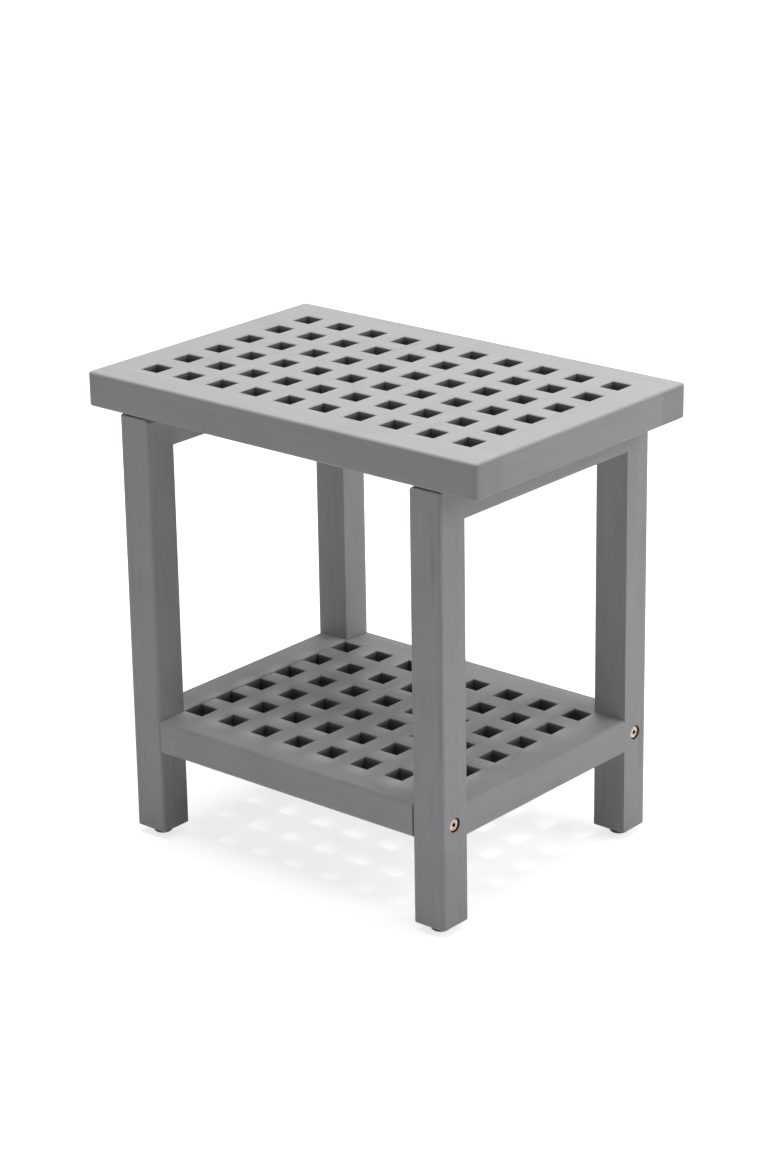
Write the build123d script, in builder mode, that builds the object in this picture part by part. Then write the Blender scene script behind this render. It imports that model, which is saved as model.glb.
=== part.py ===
from build123d import *
import os

# Shower stool with a shelf, in painted hardwood.
# A lattice seat rests on two side frames, and a lattice shelf is bolted between them.
# Millimetres. X runs along the long side, Y from front to back and Z up.
# The origin is on the floor, under the middle of the stool.

# Heights and the border round the seat's lattice
stool_height = 452.0
seat_thickness = 33.0
seat_board_width = 34.0
seat_rail_width = 35.5
shelf_height = 122.0
shelf_thickness = 32.0

# Lattice: the slats cross at half laps and leave the holes
slat_width = 20.0
hole_x = 21.0
hole_y = 22.0
seat_columns = 10
rows = 6
tenon_width = 14.0
tenon_height = 13.0
tenon_length = 10.0
board_tenon_width = 20.0
board_tenon_length = 18.0

# Side frames: two legs each, with an apron on top and a rail beside the shelf
leg_size_x = 35.0
leg_size_y = 33.0
leg_inset = 0.5
leg_top_gap = 1.0
apron_height = 33.0
side_rail_lift = 1.0
frame_tenon_width = 14.0
frame_tenon_height = 19.0
frame_tenon_length = 12.0

# Rounded and eased edges
leg_edge_radius = 3.0
leg_seam_radius = 0.3
leg_run_out = 14.0
leg_top_chamfer = 1.0
leg_inner_bevel = 3.5
leg_foot_chamfer = 0.8
seat_corner_radius = 4.5
seat_edge_radius = 2.5
rail_edge_radius = 3.0
side_rail_ease = 0.8
slat_front_corner_radius = 1.0
slat_back_corner_radius = 7.0
hole_edge_ease = 0.8

# Fits
lap_clearance = 0.05
tenon_clearance = 0.1
panel_gap = 0.5
end_clearance = 1.0

# Connector bolts through the legs into the shelf rails, and their barrel nuts
bolt_radius = 3.0
bolt_length = 60.0
bolt_head_radius = 6.0
bolt_head_height = 2.5
bolt_head_edge = 0.6
bolt_recess = 1.2
bolt_clearance = 0.3
bolt_head_clearance = 0.9
bolt_hex_size = 4.0
bolt_hex_depth = 2.0
nut_radius = 5.0
nut_height = 15.0
nut_setback = 21.0
nut_slot_width = 1.5
nut_slot_depth = 1.5
nut_clearance = 0.1

# Wood screws up through the aprons into the seat
screw_head_radius = 4.8
screw_head_height = 3.0
screw_radius = 2.5
screw_hex_size = 4.0
screw_hex_depth = 2.2
screw_length = 42.0
screw_tip_length = 5.0
screw_recess = 10.0
screw_row_length = 126.0
screw_clearance = 0.2

# Feet, each held by a steel pin
foot_radius = 9.0
foot_height = 7.5
foot_edge_radius = 2.5
pin_radius = 1.5
pin_length = 20.0
pin_in_foot = 3.5
pin_point_length = 2.5
pin_clearance = 0.05

# Sizes of the two lattices. The side frames stand under the seat's outer columns of holes.
pitch_x = hole_x + slat_width
pitch_y = hole_y + slat_width
shelf_columns = seat_columns - 2
seat_grid_x = seat_columns * pitch_x - slat_width
shelf_grid_x = shelf_columns * pitch_x - slat_width
grid_y = rows * pitch_y - slat_width
seat_length = seat_grid_x + 2 * seat_board_width
seat_bottom = stool_height - seat_thickness
seat_middle = stool_height - seat_thickness / 2
shelf_bottom = shelf_height - shelf_thickness
shelf_middle = shelf_height - shelf_thickness / 2

# Places of the side frames
inner_x = shelf_grid_x / 2 + panel_gap
outer_x = inner_x + leg_size_x
outer_y = grid_y / 2 + seat_rail_width - leg_inset
inner_y = outer_y - leg_size_y
leg_x = (inner_x + outer_x) / 2
leg_y = (inner_y + outer_y) / 2
leg_top = seat_bottom - leg_top_gap
apron_bottom = seat_bottom - apron_height
side_rail_top = shelf_height + side_rail_lift
side_rail_height = side_rail_top - shelf_bottom

# Places of the fasteners
head_face_x = outer_x - bolt_recess
bolt_end_x = head_face_x - bolt_head_height - bolt_length
nut_x = shelf_grid_x / 2 - nut_setback
screw_x = (seat_columns / 2 - 1) * pitch_x
screw_start = apron_bottom + screw_recess
screw_end = screw_start + screw_length

# A side is -1 on the left or in front, and 1 on the right or at the back
sides = (-1, 1)
x_names = {-1: "left", 1: "right"}
y_names = {-1: "front", 1: "back"}

os.makedirs("parts", exist_ok=True)


def save(piece, name):
    piece.part.label = name
    export_step(piece.part, f"parts/{name}.step")


def save_copy(piece, name, x, y):
    """Save a copy of a piece, moved along X and Y, under its own name."""
    with BuildPart() as copy:
        with Locations((x, y)):
            add(piece)
    save(copy, name)


def far(side):
    """Index of the last item on that side of a list sorted along an axis."""
    return 0 if side < 0 else -1


def mortises(face, pitch, count, width, height, length):
    """The hollows for a row of tenons, sunk into a face."""
    with BuildPart() as hollows:
        with BuildSketch(face):
            with GridLocations(pitch, 1, count, 1):
                Rectangle(width + 2 * tenon_clearance, height + 2 * tenon_clearance)
        extrude(amount=length + tenon_clearance)
    return hollows.part


def hole_edges(columns, hole_rows, top):
    """What is eased off round the upper edges of a grid of holes."""
    with BuildPart() as edges:
        with BuildSketch(Plane.XY.offset(top)):
            with GridLocations(pitch_x, pitch_y, columns, hole_rows):
                Rectangle(hole_x + 2 * hole_edge_ease, hole_y + 2 * hole_edge_ease)
        extrude(amount=-hole_edge_ease, taper=45)
    return edges.part


def seat_rail(side):
    """The seat's front or back rail, at full length, with rounded corners and edges."""
    face = Plane((0, side * grid_y / 2, seat_middle), x_dir=(1, 0, 0), z_dir=(0, side, 0))
    board_spacing = seat_grid_x + seat_board_width
    slat_mortises = mortises(face, pitch_x, seat_columns - 1, tenon_width, tenon_height, tenon_length)
    board_mortises = mortises(
        face, board_spacing, 2, board_tenon_width, tenon_height, board_tenon_length
    )
    eased = hole_edges(seat_columns, 1, stool_height)
    with BuildPart() as rail:
        with BuildSketch(face):
            Rectangle(seat_length, seat_thickness)
        extrude(amount=seat_rail_width)
        fillet(rail.faces().sort_by(Axis.Y)[far(side)].edges().filter_by(Axis.Z), seat_corner_radius)
        inner_edges = rail.faces().sort_by(Axis.Y)[far(-side)].edges()
        fillet(rail.faces().filter_by(Axis.Z).edges() - inner_edges, seat_edge_radius)
        add(slat_mortises, mode=Mode.SUBTRACT)
        add(board_mortises, mode=Mode.SUBTRACT)
        with Locations((0, side * (grid_y - hole_y) / 2)):
            add(eased, mode=Mode.SUBTRACT)
    save(rail, f"seat_{y_names[side]}_rail")


def seat_board(side):
    """The seat's end board, with a tenon into each rail and mortises for the long slats."""
    face = Plane((side * seat_grid_x / 2, 0, seat_middle), x_dir=(0, 1, 0), z_dir=(side, 0, 0))
    slat_mortises = mortises(face, pitch_y, rows - 1, tenon_width, tenon_height, tenon_length)
    eased = hole_edges(1, rows, stool_height)
    with BuildPart() as board:
        with BuildSketch(face):
            Rectangle(grid_y, seat_thickness)
        extrude(amount=seat_board_width)
        fillet(board.faces().sort_by(Axis.X)[far(side)].edges().filter_by(Axis.Y), seat_edge_radius)
        with BuildSketch(face.offset((seat_board_width - board_tenon_width) / 2)):
            Rectangle(grid_y + 2 * board_tenon_length, tenon_height)
        extrude(amount=board_tenon_width)
        add(slat_mortises, mode=Mode.SUBTRACT)
        with Locations((side * (seat_grid_x - hole_x) / 2, 0)):
            add(eased, mode=Mode.SUBTRACT)
    save(board, f"seat_{x_names[side]}_board")


def cross_slat(bottom, thickness, hollows):
    """A slat from front to back, half-lapped over the long slats and tenoned at both ends."""
    with BuildPart() as slat:
        with BuildSketch(Plane.XY.offset(bottom)):
            Rectangle(slat_width, grid_y)
        extrude(amount=thickness)
        with BuildSketch(Plane.XY.offset(bottom + (thickness - tenon_height) / 2)):
            Rectangle(tenon_width, grid_y + 2 * tenon_length)
        extrude(amount=tenon_height)
        with BuildSketch(Plane.XY.offset(bottom)):
            with GridLocations(1, pitch_y, 1, rows - 1):
                Rectangle(slat_width, slat_width + 2 * lap_clearance)
        extrude(amount=thickness / 2, mode=Mode.SUBTRACT)
        add(hollows, mode=Mode.SUBTRACT)
    return slat.part


def seat_long_slat():
    """A slat along the seat, half-lapped under the cross slats and tenoned at both ends."""
    with BuildPart() as slat:
        with BuildSketch(Plane.XY.offset(seat_bottom)):
            Rectangle(seat_grid_x, slat_width)
        extrude(amount=seat_thickness)
        with BuildSketch(Plane.XY.offset(seat_middle - tenon_height / 2)):
            Rectangle(seat_grid_x + 2 * tenon_length, tenon_width)
        extrude(amount=tenon_height)
        with BuildSketch(Plane.XY.offset(seat_middle)):
            with GridLocations(pitch_x, 1, seat_columns - 1, 1):
                Rectangle(slat_width + 2 * lap_clearance, slat_width)
        extrude(amount=seat_thickness / 2, mode=Mode.SUBTRACT)
        add(hole_edges(seat_columns, 2, stool_height), mode=Mode.SUBTRACT)
    return slat.part


def shelf_long_slat():
    """A slat along the shelf, with free ends just short of the side frames. The left end is rounded."""
    with BuildPart() as slat:
        with BuildSketch(Plane.XY.offset(shelf_bottom)) as outline:
            Rectangle(shelf_grid_x, slat_width)
            corners = outline.vertices().group_by(Axis.X)[0].sort_by(Axis.Y)
            fillet(corners[0], slat_front_corner_radius)
            fillet(corners[-1], slat_back_corner_radius)
        extrude(amount=shelf_thickness)
        with BuildSketch(Plane.XY.offset(shelf_middle)):
            with GridLocations(pitch_x, 1, shelf_columns - 1, 1):
                Rectangle(slat_width + 2 * lap_clearance, slat_width)
        extrude(amount=shelf_thickness / 2, mode=Mode.SUBTRACT)
        add(hole_edges(shelf_columns, 2, shelf_height), mode=Mode.SUBTRACT)
    return slat.part


def shelf_rail(side):
    """The shelf's front or back rail, bored at each end for a bolt and its barrel nut."""
    face = Plane((0, side * grid_y / 2, shelf_middle), x_dir=(1, 0, 0), z_dir=(0, side, 0))
    slat_mortises = mortises(face, pitch_x, shelf_columns - 1, tenon_width, tenon_height, tenon_length)
    eased = hole_edges(shelf_columns, 1, shelf_height)
    end_x = shelf_grid_x / 2
    bolt_faces = [Plane((end * end_x, side * leg_y, shelf_middle), z_dir=(end, 0, 0)) for end in sides]
    nut_faces = [Plane((end * nut_x, side * leg_y, shelf_bottom), z_dir=(0, 0, -1)) for end in sides]
    with BuildPart() as rail:
        with BuildSketch(face):
            Rectangle(shelf_grid_x, shelf_thickness)
        extrude(amount=outer_y - grid_y / 2)
        fillet(rail.faces().sort_by(Axis.Y)[far(side)].edges().filter_by(Axis.X), rail_edge_radius)
        add(slat_mortises, mode=Mode.SUBTRACT)
        with Locations((0, side * (grid_y - hole_y) / 2)):
            add(eased, mode=Mode.SUBTRACT)
        with Locations(*bolt_faces):
            Hole(bolt_radius + bolt_clearance, end_x - bolt_end_x + end_clearance)
        with Locations(*nut_faces):
            Hole(nut_radius + nut_clearance, (shelf_thickness + nut_height) / 2 + nut_clearance)
    save(rail, f"shelf_{y_names[side]}_rail")


def leg(side_x, side_y):
    """A leg, bevelled over its inner face. The rounding of two edges runs out beside the rails."""
    x = side_x * leg_x
    y = side_y * leg_y
    spans = (
        ((foot_height, leg_edge_radius), (shelf_bottom - leg_run_out, leg_edge_radius)),
        ((shelf_bottom - leg_run_out, leg_edge_radius), (shelf_bottom, leg_seam_radius)),
        ((shelf_bottom, 0), (side_rail_top, 0)),
        ((side_rail_top, leg_seam_radius), (side_rail_top + leg_run_out, leg_edge_radius)),
        ((side_rail_top + leg_run_out, leg_edge_radius), (apron_bottom - leg_run_out, leg_edge_radius)),
        ((apron_bottom - leg_run_out, leg_edge_radius), (apron_bottom, leg_seam_radius)),
        ((apron_bottom, 0), (leg_top, 0)),
    )
    bolt_face = Plane((side_x * outer_x, y, shelf_middle), z_dir=(side_x, 0, 0))
    pin_face = Plane((x, y, foot_height), z_dir=(0, 0, -1))
    bevel_side = 2**0.5 * leg_inner_bevel
    frame_tenon = (frame_tenon_width, frame_tenon_height, frame_tenon_length)
    with BuildPart() as post:
        for span in spans:
            for z, inner_radius in span:
                with BuildSketch(Plane.XY.offset(z)) as section:
                    with Locations((x, y)):
                        Rectangle(leg_size_x, leg_size_y)
                    corners = section.vertices().group_by(Axis.Y)
                    fillet(corners[far(side_y)], leg_edge_radius)
                    if inner_radius > 0:
                        fillet(corners[far(-side_y)], inner_radius)
            loft(ruled=True)
        chamfer(post.faces().sort_by(Axis.Z)[-1].edges(), leg_top_chamfer)
        chamfer(post.faces().sort_by(Axis.Z)[0].edges(), leg_foot_chamfer)
        with BuildSketch(Plane((side_x * inner_x, y, leg_top), x_dir=(1, 0, 0), z_dir=(0, -1, 0))):
            Rectangle(bevel_side, bevel_side, rotation=45)
        extrude(amount=leg_size_y, both=True, mode=Mode.SUBTRACT)
        with Locations(bolt_face):
            CounterBoreHole(
                bolt_radius + bolt_clearance,
                bolt_head_radius + bolt_head_clearance,
                bolt_recess + bolt_head_height,
                leg_size_x,
            )
        with Locations(pin_face):
            Hole(pin_radius + pin_clearance, pin_length - pin_in_foot + end_clearance)
        for bottom, height in ((shelf_bottom, side_rail_height), (apron_bottom, apron_height)):
            centre = (x, side_y * inner_y, bottom + height / 2)
            face = Plane(centre, x_dir=(1, 0, 0), z_dir=(0, side_y, 0))
            add(mortises(face, 1, 1, *frame_tenon), mode=Mode.SUBTRACT)
    save(post, f"{y_names[side_y]}_{x_names[side_x]}_leg")


def frame_rail(side, bottom, height):
    """A rail between the legs of one side frame, with a tenon into each leg."""
    with BuildPart() as rail:
        with BuildSketch(Plane.XY.offset(bottom)):
            with Locations((side * leg_x, 0)):
                Rectangle(leg_size_x, 2 * inner_y)
        extrude(amount=height)
        with BuildSketch(Plane.XY.offset(bottom + (height - frame_tenon_height) / 2)):
            with Locations((side * leg_x, 0)):
                Rectangle(frame_tenon_width, 2 * (inner_y + frame_tenon_length))
        extrude(amount=frame_tenon_height)
    return rail.part


def apron(side):
    """The rail under the seat's end, bored from below for the screws into the seat."""
    below = Plane((side * screw_x, 0, apron_bottom), z_dir=(0, 0, -1))
    with BuildPart() as rail:
        add(frame_rail(side, apron_bottom, apron_height))
        fillet(rail.faces().sort_by(Axis.Z)[0].edges().filter_by(Axis.Y), rail_edge_radius)
        with Locations(below):
            with GridLocations(1, screw_row_length, 1, 2):
                CounterBoreHole(
                    screw_radius + screw_clearance,
                    screw_head_radius + screw_clearance,
                    screw_recess + screw_head_height,
                    apron_height,
                )
    save(rail, f"{x_names[side]}_apron")


def side_rail(side):
    """The rail beside the shelf's free slat ends, in one side frame."""
    with BuildPart() as rail:
        add(frame_rail(side, shelf_bottom, side_rail_height))
        fillet(rail.faces().sort_by(Axis.X)[far(side)].edges().filter_by(Axis.Y), rail_edge_radius)
        chamfer(rail.faces().sort_by(Axis.X)[far(-side)].edges().filter_by(Axis.Y), side_rail_ease)
    save(rail, f"shelf_{x_names[side]}_side_rail")


def connector_bolts():
    """Flat-headed hex-socket bolts, through the legs into the ends of the shelf rails."""
    heads = [
        Plane((side * head_face_x, y, shelf_middle), z_dir=(side, 0, 0))
        for side in sides
        for y in (-leg_y, leg_y)
    ]
    with BuildPart() as bolts:
        with BuildSketch(*heads):
            Circle(bolt_head_radius)
        extrude(amount=-bolt_head_height)
        with BuildSketch(*[head.offset(-bolt_head_height) for head in heads]):
            Circle(bolt_radius)
        extrude(amount=-bolt_length)
        rims = bolts.edges().filter_by(GeomType.CIRCLE).group_by(Axis.X)
        chamfer(rims[0] + rims[-1], bolt_head_edge)
        with BuildSketch(*heads):
            RegularPolygon(bolt_hex_size / 2, 6, major_radius=False)
        extrude(amount=-bolt_hex_depth, mode=Mode.SUBTRACT)
    save(bolts, "connector_bolts")


def barrel_nuts():
    """Barrel nuts in the shelf rails, each with its cross bore and a slot to turn it by."""
    nut_bottom = Plane.XY.offset(shelf_middle - nut_height / 2)
    with BuildPart() as nuts:
        with BuildSketch(nut_bottom):
            with GridLocations(2 * nut_x, 2 * leg_y, 2, 2):
                Circle(nut_radius)
        extrude(amount=nut_height)
        with BuildSketch(nut_bottom):
            with GridLocations(2 * nut_x, 2 * leg_y, 2, 2):
                Rectangle(2 * nut_radius, nut_slot_width)
        extrude(amount=nut_slot_depth, mode=Mode.SUBTRACT)
        for side_y in sides:
            with BuildSketch(Plane((0, side_y * leg_y, shelf_middle), z_dir=(1, 0, 0))):
                Circle(bolt_radius + nut_clearance)
            extrude(amount=outer_x, both=True, mode=Mode.SUBTRACT)
    save(nuts, "barrel_nuts")


def seat_screws():
    """Wood screws from the aprons' counterbores into the seat's outer cross slats."""
    with BuildPart() as screw:
        with BuildSketch(Plane.XZ):
            with BuildLine():
                Polyline(
                    (0, 0),
                    (screw_head_radius, 0),
                    (screw_head_radius, screw_head_height / 2),
                    (screw_radius, screw_head_height),
                    (screw_radius, screw_length - screw_tip_length),
                    (0, screw_length),
                    close=True,
                )
            make_face()
        revolve(axis=Axis.Z)
        with BuildSketch():
            RegularPolygon(screw_hex_size / 2, 6, major_radius=False)
        extrude(amount=screw_hex_depth, mode=Mode.SUBTRACT)
    with BuildPart() as screws:
        with Locations((0, 0, screw_start)):
            with GridLocations(2 * screw_x, screw_row_length, 2, 2):
                add(screw.part)
    save(screws, "seat_screws")


def screw_pilots():
    """The holes that two screws fill in one of the seat's outer cross slats."""
    with BuildPart() as pilots:
        with BuildSketch(Plane.XY.offset(seat_bottom)):
            with GridLocations(1, screw_row_length, 1, 2):
                Circle(screw_radius + screw_clearance)
        extrude(amount=screw_end - seat_bottom + end_clearance)
    return pilots.part


def foot(side_x, side_y):
    """A round glide under a leg, with a blind bore for its pin."""
    centre = (side_x * leg_x, side_y * leg_y)
    with BuildPart() as glide:
        with BuildSketch():
            with Locations(centre):
                Circle(foot_radius)
        extrude(amount=foot_height)
        fillet(glide.edges().sort_by(Axis.Z)[0], foot_edge_radius)
        with Locations(Plane((*centre, foot_height))):
            Hole(pin_radius + pin_clearance, pin_in_foot)
    save(glide, f"{y_names[side_y]}_{x_names[side_x]}_foot")


def foot_pins():
    """Pointed steel pins moulded into the feet and driven into the legs."""
    with BuildPart() as pin:
        with BuildSketch(Plane.XZ):
            with BuildLine():
                Polyline(
                    (0, 0),
                    (pin_radius, 0),
                    (pin_radius, pin_length - pin_point_length),
                    (0, pin_length),
                    close=True,
                )
            make_face()
        revolve(axis=Axis.Z)
    with BuildPart() as pins:
        with Locations((0, 0, foot_height - pin_in_foot)):
            with GridLocations(2 * leg_x, 2 * leg_y, 2, 2):
                add(pin.part)
    save(pins, "foot_pins")


# Seat
for side in sides:
    seat_rail(side)
    seat_board(side)
seat_slat = seat_long_slat()
for index in range(rows - 1):
    save_copy(seat_slat, f"seat_long_slat_{index + 1}", 0, (index + 1 - rows / 2) * pitch_y)
eased = hole_edges(2, rows, stool_height)
plain_slat = cross_slat(seat_bottom, seat_thickness, eased)
screwed_slat = cross_slat(seat_bottom, seat_thickness, eased + screw_pilots())
for index in range(seat_columns - 1):
    outer = index in (0, seat_columns - 2)
    slat_x = (index + 1 - seat_columns / 2) * pitch_x
    save_copy(screwed_slat if outer else plain_slat, f"seat_cross_slat_{index + 1}", slat_x, 0)

# Shelf
for side in sides:
    shelf_rail(side)
shelf_slat = shelf_long_slat()
for index in range(rows - 1):
    save_copy(shelf_slat, f"shelf_long_slat_{index + 1}", 0, (index + 1 - rows / 2) * pitch_y)
shelf_cross_slat = cross_slat(shelf_bottom, shelf_thickness, hole_edges(2, rows, shelf_height))
for index in range(shelf_columns - 1):
    slat_x = (index + 1 - shelf_columns / 2) * pitch_x
    save_copy(shelf_cross_slat, f"shelf_cross_slat_{index + 1}", slat_x, 0)

# Side frames and feet
for side in sides:
    apron(side)
    side_rail(side)
    for side_y in sides:
        leg(side, side_y)
        foot(side, side_y)

# Fasteners
connector_bolts()
barrel_nuts()
seat_screws()
foot_pins()
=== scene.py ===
import math

import bpy
from bpy.props import FloatProperty, FloatVectorProperty, PointerProperty
from mathutils import Matrix, Vector


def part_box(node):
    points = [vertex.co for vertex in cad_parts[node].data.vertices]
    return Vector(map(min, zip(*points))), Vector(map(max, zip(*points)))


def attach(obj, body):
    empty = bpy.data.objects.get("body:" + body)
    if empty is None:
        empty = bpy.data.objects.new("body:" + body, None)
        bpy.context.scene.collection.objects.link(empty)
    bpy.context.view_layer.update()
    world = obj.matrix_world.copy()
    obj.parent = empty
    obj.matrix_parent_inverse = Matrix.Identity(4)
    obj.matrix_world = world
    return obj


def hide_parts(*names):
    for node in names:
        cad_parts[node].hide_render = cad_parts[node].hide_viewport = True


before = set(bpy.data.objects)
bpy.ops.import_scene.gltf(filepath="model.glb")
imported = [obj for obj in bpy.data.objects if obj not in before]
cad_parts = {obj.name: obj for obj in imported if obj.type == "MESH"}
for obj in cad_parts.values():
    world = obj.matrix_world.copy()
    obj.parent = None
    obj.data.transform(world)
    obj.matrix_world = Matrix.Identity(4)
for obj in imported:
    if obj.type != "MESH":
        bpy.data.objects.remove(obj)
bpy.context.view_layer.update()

bl_info = {
    "name": "Painted lattice stool",
    "version": (1, 0, 0),
    "blender": (4, 5, 0),
    "location": "View3D > Sidebar > Stool",
    "description": "Paints and details a wooden shower stool with a lattice seat and shelf",
    "category": "Object",
}

# Words in the names of the boards, sorted by the way their grain runs
GRAIN_AXES = {
    "x": ("seat_front_rail", "seat_back_rail", "seat_long_slat", "shelf_front_rail", "shelf_back_rail",
          "shelf_long_slat"),
    "y": ("seat_left_board", "seat_right_board", "seat_cross_slat", "shelf_cross_slat", "left_apron",
          "right_apron", "shelf_left_side_rail", "shelf_right_side_rail"),
    "z": ("leg",),
}
BOARD_COUNT = 40

# Length of the cross slats' tenons, which are hidden in the rails
TENON_LENGTH = 0.010

# Cells as wide as a slat with a hole beside it, and so high that the seat and the shelf lie in different ones
BOARD_CELL = (0.041, 0.042, 0.25)

# How far a wall may lie from its computed place
FACE_SLACK = 0.0003

# Depths under a lattice's top at which the painted shade on its holes' walls starts and is darkest, and how
# much of it lies at the top edge
HOLE_FADE = (0.001, 0.006)
HOLE_EDGE_DARK = 0.55

# Reach of the painted shade round a bolt, in radii of its head, and the depths at which it starts and is
# darkest
BORE_REACH = 1.3
BORE_FADE = (0.0002, 0.0008)
BORE_SHADE = 0.2

# Depths under a bolt head's face at which the painted shade in the socket and round the rim starts and is
# darkest
RECESS_SHADE_FADE = (0.0001, 0.0011)

# Sides of a bolt's round parts and of its socket
HEAD_SIDES = 64
SHANK_SIDES = 32
SOCKET_SIDES = 6

# Edges sharper than the first are bevelled, and edges blunter than the second are shaded smooth
SHARP_EDGE = math.radians(60.0)
SMOOTH_EDGE = math.radians(35.0)

SENSOR_WIDTH = 36.0
VIEW_DEPTH = 200.0


class PaintSettings(bpy.types.PropertyGroup):
    """Matt paint over hardwood, with the wood's grain showing faintly through."""

    colour: FloatVectorProperty(name="Colour", description="Colour of the paint", subtype="COLOR", size=3,
                                default=(0.47, 0.473, 0.481), min=0.0, max=1.0)
    dark_colour: FloatVectorProperty(name="Dark colour", description="Colour where the paint is thin over "
                                     "dark grain and in smudges", subtype="COLOR", size=3,
                                     default=(0.33, 0.341, 0.338), min=0.0, max=1.0)
    # A lighter colour drawn in patches along every edge
    edge_colour: FloatVectorProperty(name="Edge colour", description="Colour along rubbed edges",
                                     subtype="COLOR", size=3, default=(0.53, 0.535, 0.536), min=0.0, max=1.0)
    # Painted shade: this dark colour is drawn on the holes' walls, darkest deep down
    hole_shade_colour: FloatVectorProperty(name="Hole colour", description="Colour of the holes' walls, where "
                                     "the paint is thin over dark wood", subtype="COLOR", size=3,
                                     default=(0.11, 0.113, 0.112), min=0.0, max=1.0)
    roughness: FloatProperty(name="Roughness", description="Roughness of the dry paint", default=0.52,
                             min=0.0, max=1.0)
    board_tone: FloatProperty(name="Board tone", description="How much one board differs from the next",
                              default=0.08, min=0.0, max=1.0)
    mottle: FloatProperty(name="Mottle", description="Strength of the soft cloudy patches", default=0.18,
                          min=0.0, max=1.0)
    mottle_size: FloatProperty(name="Mottle size", description="Width of one cloudy patch", default=0.06,
                               min=0.001, unit="LENGTH")
    grain: FloatProperty(name="Grain", description="How much of the grain shows in the colour", default=0.18,
                         min=0.0, max=1.0)
    grain_width: FloatProperty(name="Grain width", description="Distance between grain lines across a board",
                               default=0.004, min=0.0001, unit="LENGTH")
    grain_length: FloatProperty(name="Grain length", description="Length of a grain line along a board",
                                default=0.12, min=0.001, unit="LENGTH")
    smudge: FloatProperty(name="Smudge", description="Strength of the streaks rubbed along legs and rails",
                          default=0.45, min=0.0, max=1.0)
    smudge_length: FloatProperty(name="Smudge length", description="Length of a streak", default=0.07,
                                 min=0.001, unit="LENGTH")
    smudge_width: FloatProperty(name="Smudge width", description="Width of a streak", default=0.009,
                                min=0.001, unit="LENGTH")
    pore_length: FloatProperty(name="Pore length", description="Length of an open pore", default=0.012,
                               min=0.0001, unit="LENGTH", precision=4)
    pore_width: FloatProperty(name="Pore width", description="Width of an open pore", default=0.0007,
                              min=0.0001, unit="LENGTH", precision=4)
    pore_depth: FloatProperty(name="Pore depth", description="Depth of the open pores under the paint",
                              default=0.00006, min=0.0, unit="LENGTH", precision=6)
    ripple_size: FloatProperty(name="Ripple size", description="Width of the ripples in the dry paint",
                               default=0.0016, min=0.0001, unit="LENGTH", precision=4)
    edge_radius: FloatProperty(name="Sanded edge", description="Radius that sanding leaves on sharp edges",
                               default=0.0005, min=0.0, unit="LENGTH", precision=5)


class MetalSettings(bpy.types.PropertyGroup):
    """Brass-plated bolts and zinc-plated nuts, screws and pins."""

    brass: FloatVectorProperty(name="Brass", description="Colour of the bolt heads", subtype="COLOR", size=3,
                               default=(0.60, 0.46, 0.37), min=0.0, max=1.0)
    tarnish: FloatVectorProperty(name="Tarnish", description="Colour of the tarnish in the bolt heads",
                                 subtype="COLOR", size=3, default=(0.37, 0.27, 0.19), min=0.0, max=1.0)
    zinc: FloatVectorProperty(name="Zinc", description="Colour of the zinc plating", subtype="COLOR", size=3,
                              default=(0.62, 0.62, 0.64), min=0.0, max=1.0)
    # Painted shade: a dark colour drawn in the bolts' sockets and round their rims
    recess_shade: FloatVectorProperty(name="Grime", description="Colour of the grime in the sockets and round the "
                               "rims of the bolts", subtype="COLOR", size=3, default=(0.02, 0.013, 0.009),
                               min=0.0, max=1.0)
    roughness: FloatProperty(name="Roughness", description="Roughness of the turned metal", default=0.32,
                             min=0.0, max=1.0)
    patch_size: FloatProperty(name="Patch size", description="Width of a dull patch", default=0.003,
                              min=0.0001, unit="LENGTH", precision=4)
    grit_size: FloatProperty(name="Grit size", description="Width of the fine unevenness", default=0.0004,
                             min=0.0001, unit="LENGTH", precision=4)


class BoltSettings(bpy.types.PropertyGroup):
    """Hex-socket connector bolts with rounded heads."""

    head_radius: FloatProperty(name="Head radius", description="Radius of the head", default=0.006, min=0.001,
                               unit="LENGTH", precision=4)
    head_height: FloatProperty(name="Head height", description="Height of the head", default=0.0025,
                               min=0.0005, unit="LENGTH", precision=4)
    head_edge: FloatProperty(name="Head edge", description="Rounding of the head's rim", default=0.0009,
                             min=0.0, unit="LENGTH", precision=5)
    socket_radius: FloatProperty(name="Socket radius", description="Radius over the corners of the socket",
                                 default=0.00231, min=0.0005, unit="LENGTH", precision=5)
    socket_depth: FloatProperty(name="Socket depth", description="Depth of the hex socket", default=0.002,
                                min=0.0005, unit="LENGTH", precision=4)
    shank_radius: FloatProperty(name="Shank radius", description="Radius of the shank", default=0.003,
                                min=0.0005, unit="LENGTH", precision=4)
    shank_length: FloatProperty(name="Shank length", description="Length of the shank below the head",
                                default=0.06, min=0.001, unit="LENGTH")
    shank_edge: FloatProperty(name="Shank edge", description="Bevel at the end of the shank", default=0.0005,
                              min=0.0, unit="LENGTH", precision=5)


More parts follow.
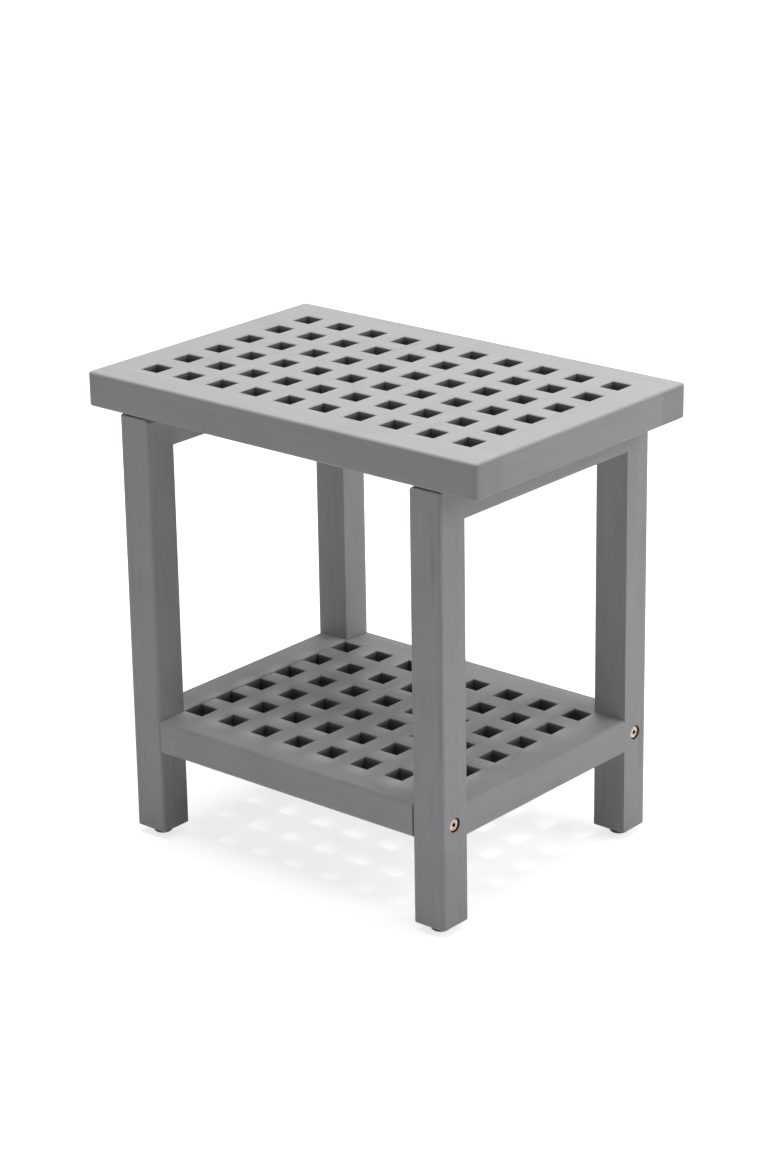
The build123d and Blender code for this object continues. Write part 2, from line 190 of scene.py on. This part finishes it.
class FootSettings(bpy.types.PropertyGroup):
    """Black plastic glides."""

    colour: FloatVectorProperty(name="Colour", description="Colour of the plastic", subtype="COLOR", size=3,
                                default=(0.028, 0.028, 0.03), min=0.0, max=1.0)
    roughness: FloatProperty(name="Roughness", description="Roughness of the plastic", default=0.45,
                             min=0.0, max=1.0)
    scuff_colour: FloatVectorProperty(name="Scuff colour", description="Colour of the scuffed plastic",
                                      subtype="COLOR", size=3, default=(0.11, 0.11, 0.11), min=0.0, max=1.0)
    scuff_height: FloatProperty(name="Scuff height", description="Height above the floor up to which a foot "
                                "is scuffed", default=0.0012, min=0.0001, unit="LENGTH", precision=4)
    scuff_length: FloatProperty(name="Scuff length", description="Length of a scuff", default=0.008,
                                min=0.0001, unit="LENGTH", precision=4)
    scuff_width: FloatProperty(name="Scuff width", description="Width of a scuff", default=0.001,
                               min=0.0001, unit="LENGTH", precision=4)
    grit_size: FloatProperty(name="Grit size", description="Width of the moulded texture", default=0.0004,
                             min=0.0001, unit="LENGTH", precision=4)


class StageSettings(bpy.types.PropertyGroup):
    """Floor, lamps and camera."""

    camera_place: FloatVectorProperty(name="Camera place", description="Where the camera stands", size=3,
                                      subtype="TRANSLATION", unit="LENGTH", default=(1.8298, -2.1444, 1.2814))
    camera_azimuth: FloatProperty(name="Camera azimuth", description="Angle round the stool from its front",
                                  subtype="ANGLE", default=math.radians(40.41))
    camera_elevation: FloatProperty(name="Camera elevation", description="Angle that the camera looks down",
                                    subtype="ANGLE", default=math.radians(20.095))
    camera_roll: FloatProperty(name="Camera roll", description="Tilt of the camera about its own axis",
                               subtype="ANGLE", default=math.radians(-0.899))
    lens: FloatProperty(name="Lens", description="Focal length on a 36 mm sensor along the picture's height",
                        default=99.13, min=1.0)
    floor_size: FloatProperty(name="Floor size", description="Width of the floor", default=60.0, min=1.0,
                              unit="LENGTH")
    floor_colour: FloatVectorProperty(name="Floor colour", description="Colour of the floor", size=3,
                                      subtype="COLOR", default=(0.8, 0.8, 0.8), min=0.0, max=1.0)
    floor_bounce: FloatProperty(name="Floor bounce", description="Share of its light that the floor throws "
                                "back at the stool", default=0.8, min=0.0, max=1.0)
    floor_lift: FloatProperty(name="Floor lift", description="White that only the camera sees in the shadow "
                              "under the stool", default=0.75, min=0.0, max=1.0)
    lift_start: FloatProperty(name="Lift start", description="Distance from the stool's middle at which the "
                              "floor starts to turn white", default=0.45, min=0.0, unit="LENGTH")
    lift_end: FloatProperty(name="Lift end", description="Distance at which the floor is all white",
                            default=1.2, min=0.0, unit="LENGTH")
    world: FloatProperty(name="World", description="Strength of the even light from all round", default=0,
                         min=0.0)
    top_lamp: FloatProperty(name="Top lamp", description="Power of the broad lamp overhead",
                            default=35, min=0.0, unit="POWER")
    small_lamp: FloatProperty(name="Small lamp", description="Power of the small lamp overhead",
                              default=45, min=0.0, unit="POWER")
    back_lamp: FloatProperty(name="Back lamp", description="Power of the raised lamp at the back left",
                             default=2.73, min=0.0, unit="POWER")
    right_lamp: FloatProperty(name="Right lamp", description="Power of the lamp at the right",
                              default=8.51, min=0.0, unit="POWER")
    front_lamp: FloatProperty(name="Front lamp", description="Power of the lamp in front, to the left",
                              default=3.93, min=0.0, unit="POWER")


# Place, aim, width and colour of each lamp
LAMPS = {
    "top_lamp": ((0.0, 0.1, 2.4), (0.0, 0.0, 0.4), 2.2, (1.0, 1.0, 1.0)),
    "small_lamp": ((0.0, 0.1, 5.0), (0.0, 0.0, 0.2), 0.25, (1.0, 1.0, 1.0)),
    "back_lamp": ((-0.7, 1.9, 1.5), (0.0, 0.0, 0.25), 1.0, (0.98, 0.99, 1.0)),
    "right_lamp": ((1.5, 0.75, 1.2), (0.1, 0.0, 0.25), 0.9, (0.98, 0.99, 1.0)),
    "front_lamp": ((-0.6, -2.2, 1.2), (0.0, 0.0, 0.25), 1.4, (0.955, 1.0, 0.975)),
}


SETTINGS = {
    "stool_paint": PaintSettings,
    "stool_metal": MetalSettings,
    "stool_bolts": BoltSettings,
    "stool_feet": FootSettings,
    "stool_stage": StageSettings,
}


# Node helpers


def new_material(name):
    """An empty material, its tree and its output."""
    material = bpy.data.materials.new(name)
    material.use_nodes = True
    tree = material.node_tree
    tree.nodes.clear()
    output = tree.nodes.new("ShaderNodeOutputMaterial")
    return material, tree, output


def node(tree, kind, inputs=None, **options):
    """A node with its options and inputs set. An input is a value or another node's socket."""
    made = tree.nodes.new(kind)
    for key, value in options.items():
        setattr(made, key, value)
    for key, value in (inputs or {}).items():
        if isinstance(value, bpy.types.NodeSocket):
            tree.links.new(value, made.inputs[key])
        else:
            made.inputs[key].default_value = value
    return made


def maths(tree, operation, a, b=0.0, clamp=False):
    """A sum, a product or another operation on one or two values."""
    return node(tree, "ShaderNodeMath", {0: a, 1: b}, operation=operation, use_clamp=clamp).outputs[0]


def mix(tree, factor, a, b):
    """Two colours mixed by a factor."""
    made = node(tree, "ShaderNodeMix", data_type="RGBA")
    sockets = {s.identifier: s for s in made.inputs}
    for key, value in (("Factor_Float", factor), ("A_Color", a), ("B_Color", b)):
        if isinstance(value, bpy.types.NodeSocket):
            tree.links.new(value, sockets[key])
        else:
            sockets[key].default_value = value if key == "Factor_Float" else (*value, 1.0)[:4]
    return {s.identifier: s for s in made.outputs}["Result_Color"]


def fade(tree, value, low, high, to_low=0.0, to_high=1.0):
    """A value carried smoothly from one range to another."""
    return node(tree, "ShaderNodeMapRange", {"Value": value, "From Min": low, "From Max": high,
                                             "To Min": to_low, "To Max": to_high},
                interpolation_type="SMOOTHSTEP").outputs["Result"]


def noise(tree, place, size, detail=3.0, roughness=0.5, distortion=0.0):
    """Soft random patches of a given width."""
    return node(tree, "ShaderNodeTexNoise", {"Vector": place, "Scale": 1.0 / size, "Detail": detail,
                                             "Roughness": roughness, "Distortion": distortion}).outputs["Fac"]


def stretched(tree, place, axis, length, width):
    """Coordinates in which a pattern is long along the grain and narrow across it."""
    scale = [1.0 / length if letter == axis else 1.0 / width for letter in "xyz"]
    return node(tree, "ShaderNodeMapping", {"Vector": place, "Scale": scale}).outputs["Vector"]


def within(tree, value, low, high):
    """1 where a value lies between two limits, otherwise 0."""
    above = maths(tree, "GREATER_THAN", value, low)
    return maths(tree, "MULTIPLY", above, maths(tree, "LESS_THAN", value, high))


def hole_wall_shade(tree, place, normal):
    """1 on the walls of both lattices' holes, where painted shade darkens them, fading in from their upper
    edges.
    """
    parts = node(tree, "ShaderNodeSeparateXYZ", {0: place}).outputs
    upright = node(tree, "ShaderNodeSeparateXYZ", {0: normal}).outputs["Z"]
    upright = maths(tree, "LESS_THAN", maths(tree, "ABSOLUTE", upright), 0.5)
    total = 0.0
    for board, cross, long_slat in (("seat_left_board", "seat_cross_slat_1", "seat_long_slat_1"),
                                    ("shelf_left_side_rail", "shelf_cross_slat_1", "shelf_long_slat_1")):
        low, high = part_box(long_slat)
        half_x = FACE_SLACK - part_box(board)[1].x
        half_y = FACE_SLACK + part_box(cross)[1].y - TENON_LENGTH
        inside = maths(tree, "MULTIPLY", within(tree, parts["X"], -half_x, half_x),
                       within(tree, parts["Y"], -half_y, half_y))
        depth = fade(tree, parts["Z"], high.z - HOLE_FADE[0], high.z - HOLE_FADE[1], HOLE_EDGE_DARK, 1.0)
        span = within(tree, parts["Z"], low.z - FACE_SLACK, high.z - FACE_SLACK)
        inside = maths(tree, "MULTIPLY", inside, maths(tree, "MULTIPLY", span, depth))
        total = maths(tree, "ADD", total, inside)
    return maths(tree, "MULTIPLY", total, upright, clamp=True)


def bolt_bores(tree, place):
    """1 on the walls of the bores round the bolt heads, which are drawn dark as painted shade where no light
    reaches.
    """
    radius = bpy.context.scene.stool_bolts.head_radius
    low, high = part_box("connector_bolts")
    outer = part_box("front_right_leg")[1].x
    parts = node(tree, "ShaderNodeSeparateXYZ", {0: place}).outputs
    across = maths(tree, "SUBTRACT", maths(tree, "ABSOLUTE", parts["Y"]), high.y - radius)
    upward = maths(tree, "SUBTRACT", parts["Z"], (low.z + high.z) / 2)
    away = maths(tree, "ADD", maths(tree, "POWER", maths(tree, "ABSOLUTE", across), 2.0),
                 maths(tree, "POWER", maths(tree, "ABSOLUTE", upward), 2.0))
    near = maths(tree, "LESS_THAN", away, (BORE_REACH * radius) ** 2)
    sunk = fade(tree, maths(tree, "ABSOLUTE", parts["X"]), outer - BORE_FADE[0], outer - BORE_FADE[1])
    return maths(tree, "MULTIPLY", near, sunk)


# Materials


def painted_wood(axis):
    """Matt paint over wood whose grain runs along one axis."""
    paint = bpy.context.scene.stool_paint
    material, tree, output = new_material(f"painted_wood_{axis}")
    place = node(tree, "ShaderNodeTexCoord").outputs["Object"]

    # Each board has its own tone, and its grain starts at its own place
    across = [0.0 if letter == axis else 1.0 for letter in "xyz"]
    cell = node(tree, "ShaderNodeVectorMath", {0: place, 1: across}, operation="MULTIPLY").outputs[0]
    half_cell = (BOARD_CELL[0] / 2, BOARD_CELL[1] / 2, 0.0)
    cell = node(tree, "ShaderNodeVectorMath", {0: cell, 1: half_cell}, operation="ADD").outputs[0]
    cell = node(tree, "ShaderNodeVectorMath", {0: cell, 1: BOARD_CELL}, operation="SNAP").outputs[0]
    board = node(tree, "ShaderNodeTexWhiteNoise", {"Vector": cell}, noise_dimensions="3D")
    shift = node(tree, "ShaderNodeVectorMath", {0: board.outputs["Color"], 1: place},
                 operation="ADD").outputs[0]

    cloud = noise(tree, place, paint.mottle_size, detail=3.0, roughness=0.55)
    lines = noise(tree, stretched(tree, shift, axis, paint.grain_length, paint.grain_width), 1.0,
                  detail=6.0, roughness=0.6, distortion=0.5)
    pores = noise(tree, stretched(tree, shift, axis, paint.pore_length, paint.pore_width), 1.0, detail=2.0)
    pores = fade(tree, pores, 0.30, 0.44)
    ripples = noise(tree, place, paint.ripple_size, detail=2.0)

    # Edges drawn lighter in patches, found where a rounded normal differs from the true one
    rounded = node(tree, "ShaderNodeBevel", {"Radius": paint.edge_radius}, samples=6).outputs["Normal"]
    plain = node(tree, "ShaderNodeNewGeometry").outputs["Normal"]
    agree = node(tree, "ShaderNodeVectorMath", {0: rounded, 1: plain}, operation="DOT_PRODUCT")
    edge = fade(tree, agree.outputs["Value"], 0.97, 0.80)
    edge = maths(tree, "MULTIPLY", edge, fade(tree, cloud, 0.35, 0.6, 0.25, 1.0))

    # End grain drinks the paint and dries darker
    facing = node(tree, "ShaderNodeVectorMath", {0: plain, 1: [1.0 - part for part in across]},
                  operation="DOT_PRODUCT").outputs["Value"]
    end = fade(tree, maths(tree, "ABSOLUTE", facing), 0.7, 0.95)

    dark = maths(tree, "MULTIPLY", fade(tree, cloud, 0.52, 0.30), paint.mottle)
    dark = maths(tree, "ADD", dark, maths(tree, "MULTIPLY", fade(tree, lines, 0.55, 0.30), paint.grain))
    dark = maths(tree, "ADD", dark, maths(tree, "MULTIPLY", board.outputs["Value"], paint.board_tone))
    streaks = noise(tree, stretched(tree, shift, axis, paint.smudge_length, paint.smudge_width), 1.0,
                    detail=4.0, roughness=0.65, distortion=0.8)
    streaks = maths(tree, "MULTIPLY", fade(tree, streaks, 0.56, 0.72), paint.smudge)
    height = node(tree, "ShaderNodeSeparateXYZ", {0: place}).outputs["Z"]
    seat_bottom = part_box("seat_front_rail")[0].z
    below_seat = fade(tree, height, seat_bottom, seat_bottom - 0.002, 0.15, 1.0)
    streaks = maths(tree, "MULTIPLY", streaks, below_seat)
    dark = maths(tree, "ADD", dark, streaks)
    dark = maths(tree, "ADD", dark, maths(tree, "MULTIPLY", end, 0.12))
    dark = maths(tree, "ADD", dark, fade(tree, pores, 0.0, 1.0, 0.10, 0.0), clamp=True)
    colour = mix(tree, dark, paint.colour, paint.dark_colour)
    colour = mix(tree, maths(tree, "MULTIPLY", edge, 0.5), colour, paint.edge_colour)
    # Painted shade: the holes' walls are drawn in a dark colour, darker deeper down
    colour = mix(tree, hole_wall_shade(tree, place, plain), colour, paint.hole_shade_colour)
    # Painted shade: the bores round the bolt heads are drawn darker still
    if axis == "z":
        bore_shade_colour = [BORE_SHADE * part for part in paint.hole_shade_colour]
        colour = mix(tree, bolt_bores(tree, place), colour, bore_shade_colour)

    rough = fade(tree, lines, 0.3, 0.7, paint.roughness + 0.06, paint.roughness - 0.03)
    rough = maths(tree, "ADD", rough, maths(tree, "MULTIPLY", end, 0.15))

    normal = node(tree, "ShaderNodeBump", {"Strength": 0.35, "Distance": 0.00012, "Height": lines,
                                           "Normal": rounded}).outputs["Normal"]
    normal = node(tree, "ShaderNodeBump", {"Strength": 0.5, "Distance": paint.pore_depth, "Height": pores,
                                           "Normal": normal}).outputs["Normal"]
    normal = node(tree, "ShaderNodeBump", {"Strength": 0.25, "Distance": 0.00003, "Height": ripples,
                                           "Normal": normal}).outputs["Normal"]
    shader = node(tree, "ShaderNodeBsdfPrincipled", {"Base Color": colour, "Roughness": rough,
                                                     "Normal": normal, "Specular IOR Level": 0.4})
    tree.links.new(shader.outputs[0], output.inputs["Surface"])
    return material


def plated_metal(name, bright, dull, face=None):
    """Turned and plated metal, dull in patches, with painted shade in the recesses below a face at a distance
    from the middle.
    """
    metal = bpy.context.scene.stool_metal
    material, tree, output = new_material(name)
    place = node(tree, "ShaderNodeTexCoord").outputs["Object"]
    patches = noise(tree, place, metal.patch_size, detail=4.0, roughness=0.6)
    grit = noise(tree, place, metal.grit_size, detail=2.0)
    colour = mix(tree, fade(tree, patches, 0.45, 0.65), bright, dull)
    # Painted shade: the colour darkens below the head's face, in the socket and on the rounded rim
    if face is not None:
        out = maths(tree, "ABSOLUTE", node(tree, "ShaderNodeSeparateXYZ", {0: place}).outputs["X"])
        recess_shade = fade(tree, out, face - RECESS_SHADE_FADE[0], face - RECESS_SHADE_FADE[1])
        colour = mix(tree, recess_shade, colour, metal.recess_shade)
    rough = fade(tree, patches, 0.4, 0.7, metal.roughness, metal.roughness + 0.2)
    normal = node(tree, "ShaderNodeBump", {"Strength": 0.2, "Distance": 0.00004, "Height": grit}).outputs[0]
    shader = node(tree, "ShaderNodeBsdfPrincipled", {"Base Color": colour, "Metallic": 1.0,
                                                     "Roughness": rough, "Normal": normal})
    tree.links.new(shader.outputs[0], output.inputs["Surface"])
    return material


def glide_plastic():
    """Moulded plastic with a fine texture, scuffed grey where it slides."""
    feet = bpy.context.scene.stool_feet
    material, tree, output = new_material("glide_plastic")
    place = node(tree, "ShaderNodeTexCoord").outputs["Object"]
    scuffs = noise(tree, stretched(tree, place, "x", feet.scuff_length, feet.scuff_width), 1.0)
    height = node(tree, "ShaderNodeSeparateXYZ", {0: place}).outputs["Z"]
    low = fade(tree, height, feet.scuff_height, 0.0)
    worn = maths(tree, "MULTIPLY", low, fade(tree, scuffs, 0.45, 0.62))
    colour = mix(tree, worn, feet.colour, feet.scuff_colour)
    rough = fade(tree, worn, 0.0, 1.0, feet.roughness, 0.75)
    grit = noise(tree, place, feet.grit_size, detail=1.0)
    normal = node(tree, "ShaderNodeBump", {"Strength": 0.3, "Distance": 0.00003, "Height": grit}).outputs[0]
    shader = node(tree, "ShaderNodeBsdfPrincipled", {"Base Color": colour, "Roughness": rough,
                                                     "Normal": normal})
    tree.links.new(shader.outputs[0], output.inputs["Surface"])
    return material


def give(piece, material):
    """Put one material in every slot of a piece."""
    if not piece.data.materials:
        piece.data.materials.append(material)
    for slot in piece.material_slots:
        slot.material = material


def painted_nodes(axis):
    """The painted boards whose grain runs along an axis."""
    return [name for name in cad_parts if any(word in name for word in GRAIN_AXES[axis])]


# Operators


class STOOL_OT_paint(bpy.types.Operator):
    """Paint every board, with the grain along its length"""

    bl_idname = "stool.paint"
    bl_label = "Paint the boards"

    def execute(self, context):
        painted = 0
        for axis in "xyz":
            material = painted_wood(axis)
            for name in painted_nodes(axis):
                give(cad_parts[name], material)
                painted += 1
        if painted != BOARD_COUNT:
            raise RuntimeError(f"{painted} boards were painted, and the stool has {BOARD_COUNT}")
        return {"FINISHED"}


def add_cylinder(vertices, radius, start, end, y, z):
    """A cylinder along X between two places, held in its mesh's own coordinates."""
    bpy.ops.object.select_all(action="DESELECT")
    bpy.ops.mesh.primitive_cylinder_add(vertices=vertices, radius=radius, depth=end - start,
                                        location=((start + end) / 2, y, z), rotation=(0.0, math.pi / 2, 0.0))
    bpy.ops.object.transform_apply(location=True, rotation=True, scale=True)
    return bpy.context.active_object


def modify(piece, kind, **options):
    """Add a modifier to a piece, set it and apply it."""
    bpy.ops.object.select_all(action="DESELECT")
    piece.select_set(True)
    bpy.context.view_layer.objects.active = piece
    modifier = piece.modifiers.new("step", kind)
    for key, value in options.items():
        setattr(modifier, key, value)
    bpy.ops.object.modifier_apply(modifier=modifier.name)


def join(pieces):
    """Join pieces into the first of them."""
    bpy.ops.object.select_all(action="DESELECT")
    for piece in pieces:
        piece.select_set(True)
    bpy.context.view_layer.objects.active = pieces[0]
    bpy.ops.object.join()
    return pieces[0]


class STOOL_OT_bolts(bpy.types.Operator):
    """Model one bolt, with a rounded head and a hex socket, and copy it to the other three legs"""

    bl_idname = "stool.bolts"
    bl_label = "Model the bolts"

    def execute(self, context):
        bolt = context.scene.stool_bolts
        low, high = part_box("connector_bolts")
        y = low.y + bolt.head_radius
        z = (low.z + high.z) / 2
        neck = high.x - bolt.head_height
        head = add_cylinder(HEAD_SIDES, bolt.head_radius, neck, high.x, y, z)
        modify(head, "BEVEL", width=bolt.head_edge, segments=4, limit_method="ANGLE", angle_limit=SHARP_EDGE)
        bottom = high.x - bolt.socket_depth
        socket = add_cylinder(SOCKET_SIDES, bolt.socket_radius, bottom, high.x + bolt.socket_depth, y, z)
        modify(head, "BOOLEAN", operation="DIFFERENCE", solver="EXACT", object=socket)
        bpy.data.objects.remove(socket)
        tip = neck - bolt.shank_length
        shank = add_cylinder(SHANK_SIDES, bolt.shank_radius, tip, neck + bolt.shank_edge, y, z)
        modify(shank, "BEVEL", width=bolt.shank_edge, limit_method="ANGLE", angle_limit=SHARP_EDGE)
        piece = join([head, shank])
        bpy.ops.object.mode_set(mode="EDIT")
        bpy.ops.mesh.select_all(action="SELECT")
        bpy.ops.mesh.normals_make_consistent(inside=False)
        bpy.ops.object.mode_set(mode="OBJECT")
        bpy.ops.object.shade_smooth_by_angle(angle=SMOOTH_EDGE)

        half_turn = Matrix.Rotation(math.pi, 4, "Z")
        across = Matrix.Translation((0.0, -2 * y, 0.0))
        copies = [piece]
        for matrix in (across, half_turn, across.inverted() @ half_turn):
            copy = piece.copy()
            copy.data = piece.data.copy()
            copy.data.transform(matrix)
            context.scene.collection.objects.link(copy)
            copies.append(copy)
        bolts = join(copies)
        bolts.name = "hex_bolts"
        metal = context.scene.stool_metal
        give(bolts, plated_metal("aged_brass", metal.brass, metal.tarnish, high.x))
        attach(bolts, "root")
        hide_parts("connector_bolts")
        return {"FINISHED"}


class STOOL_OT_fasteners(bpy.types.Operator):
    """Plate the nuts, screws and pins"""

    bl_idname = "stool.fasteners"
    bl_label = "Plate the fasteners"

    def execute(self, context):
        metal = context.scene.stool_metal
        zinc = plated_metal("zinc_plate", metal.zinc, [0.6 * part for part in metal.zinc])
        for name in ("barrel_nuts", "seat_screws", "foot_pins"):
            give(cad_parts[name], zinc)
        return {"FINISHED"}


class STOOL_OT_feet(bpy.types.Operator):
    """Finish the glides in black plastic"""

    bl_idname = "stool.feet"
    bl_label = "Finish the feet"

    def execute(self, context):
        plastic = glide_plastic()
        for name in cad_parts:
            if name.endswith("_foot"):
                give(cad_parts[name], plastic)
        return {"FINISHED"}


def add_lamp(name, power, place, aim, size, colour):
    """A square area lamp at a place, turned towards its aim."""
    data = bpy.data.lights.new(name, "AREA")
    data.shape = "SQUARE"
    data.size = size
    data.energy = power
    data.color = colour
    lamp = bpy.data.objects.new(name, data)
    bpy.context.scene.collection.objects.link(lamp)
    lamp.location = place
    lamp.rotation_euler = (Vector(aim) - Vector(place)).to_track_quat("-Z", "Y").to_euler()
    return lamp


class STOOL_OT_stage(bpy.types.Operator):
    """Lay the floor, hang the lamps and stand the camera"""

    bl_idname = "stool.stage"
    bl_label = "Set the stage"

    def execute(self, context):
        stage = context.scene.stool_stage
        bpy.ops.object.select_all(action="DESELECT")
        bpy.ops.mesh.primitive_plane_add(size=stage.floor_size, location=(0.0, 0.0, 0.0))
        floor = context.active_object
        floor.name = "floor"
        material, tree, output = new_material("pale_floor")
        matt = node(tree, "ShaderNodeBsdfDiffuse", {"Color": (*stage.floor_colour, 1.0)})
        dull = node(tree, "ShaderNodeBsdfDiffuse", {"Color": (*[stage.floor_bounce] * 3, 1.0)})
        place = node(tree, "ShaderNodeTexCoord").outputs["Object"]
        away = node(tree, "ShaderNodeVectorMath", {0: place}, operation="LENGTH").outputs["Value"]
        lift = fade(tree, away, stage.lift_start, stage.lift_end, stage.floor_lift, 1.0)
        white = node(tree, "ShaderNodeEmission", {"Color": (1.0, 1.0, 1.0, 1.0), "Strength": lift})
        both = node(tree, "ShaderNodeAddShader", {0: matt.outputs[0], 1: white.outputs[0]})
        ray = node(tree, "ShaderNodeLightPath")
        seen = maths(tree, "MAXIMUM", ray.outputs["Is Camera Ray"], ray.outputs["Is Glossy Ray"])
        seen = maths(tree, "MAXIMUM", seen, ray.outputs["Is Transmission Ray"])
        surface = node(tree, "ShaderNodeMixShader", {0: seen, 1: dull.outputs[0], 2: both.outputs[0]})
        tree.links.new(surface.outputs[0], output.inputs["Surface"])
        give(floor, material)

        world = bpy.data.worlds.new("pale_room")
        context.scene.world = world
        world.use_nodes = True
        tree = world.node_tree
        tree.nodes.clear()
        ray = node(tree, "ShaderNodeLightPath")
        seen = maths(tree, "MAXIMUM", ray.outputs["Is Camera Ray"], ray.outputs["Is Glossy Ray"])
        seen = maths(tree, "MAXIMUM", seen, ray.outputs["Is Transmission Ray"])
        dim = node(tree, "ShaderNodeBackground", {"Color": (1.0, 1.0, 1.0, 1.0), "Strength": stage.world})
        bright = node(tree, "ShaderNodeBackground", {"Color": (1.0, 1.0, 1.0, 1.0), "Strength": 1.0})
        both = node(tree, "ShaderNodeMixShader", {0: seen, 1: dim.outputs[0], 2: bright.outputs[0]})
        node(tree, "ShaderNodeOutputWorld", {"Surface": both.outputs[0]})

        for name, (place, aim, size, colour) in LAMPS.items():
            add_lamp(name, getattr(stage, name), place, aim, size, colour)

        camera = bpy.data.cameras.new("camera")
        camera.sensor_width = SENSOR_WIDTH
        camera.lens = stage.lens
        camera.clip_end = VIEW_DEPTH
        stand = bpy.data.objects.new("camera", camera)
        context.scene.collection.objects.link(stand)
        azimuth, elevation, roll = stage.camera_azimuth, stage.camera_elevation, stage.camera_roll
        back = Vector((math.sin(azimuth) * math.cos(elevation), -math.cos(azimuth) * math.cos(elevation),
                       math.sin(elevation)))
        level = (-back).cross(Vector((0.0, 0.0, 1.0))).normalized()
        up = level.cross(-back)
        turn = Matrix((level, up, back)).transposed() @ Matrix.Rotation(roll, 3, "Z")
        stand.matrix_world = Matrix.Translation(stage.camera_place) @ turn.to_4x4()
        context.scene.camera = stand
        context.scene.view_settings.view_transform = "Standard"
        return {"FINISHED"}


STEPS = (STOOL_OT_paint, STOOL_OT_bolts, STOOL_OT_fasteners, STOOL_OT_feet, STOOL_OT_stage)


class STOOL_PT_panel(bpy.types.Panel):
    """Sizes, colours and steps of the stool"""

    bl_label = "Stool"
    bl_idname = "STOOL_PT_panel"
    bl_space_type = "VIEW_3D"
    bl_region_type = "UI"
    bl_category = "Stool"

    def draw(self, context):
        for name, group in SETTINGS.items():
            box = self.layout.box()
            box.label(text=group.__doc__)
            for prop in group.__annotations__:
                box.prop(getattr(context.scene, name), prop)
        for step in STEPS:
            self.layout.operator(step.bl_idname)


def register():
    for group in SETTINGS.values():
        bpy.utils.register_class(group)
    for step in STEPS:
        bpy.utils.register_class(step)
    bpy.utils.register_class(STOOL_PT_panel)
    for name, group in SETTINGS.items():
        setattr(bpy.types.Scene, name, PointerProperty(type=group))


def unregister():
    for name in SETTINGS:
        delattr(bpy.types.Scene, name)
    bpy.utils.unregister_class(STOOL_PT_panel)
    for step in reversed(STEPS):
        bpy.utils.unregister_class(step)
    for group in reversed(list(SETTINGS.values())):
        bpy.utils.unregister_class(group)


def main():
    register()
    bpy.ops.stool.paint()
    bpy.ops.stool.bolts()
    bpy.ops.stool.fasteners()
    bpy.ops.stool.feet()
    bpy.ops.stool.stage()


if __name__ == "__main__":
    main()
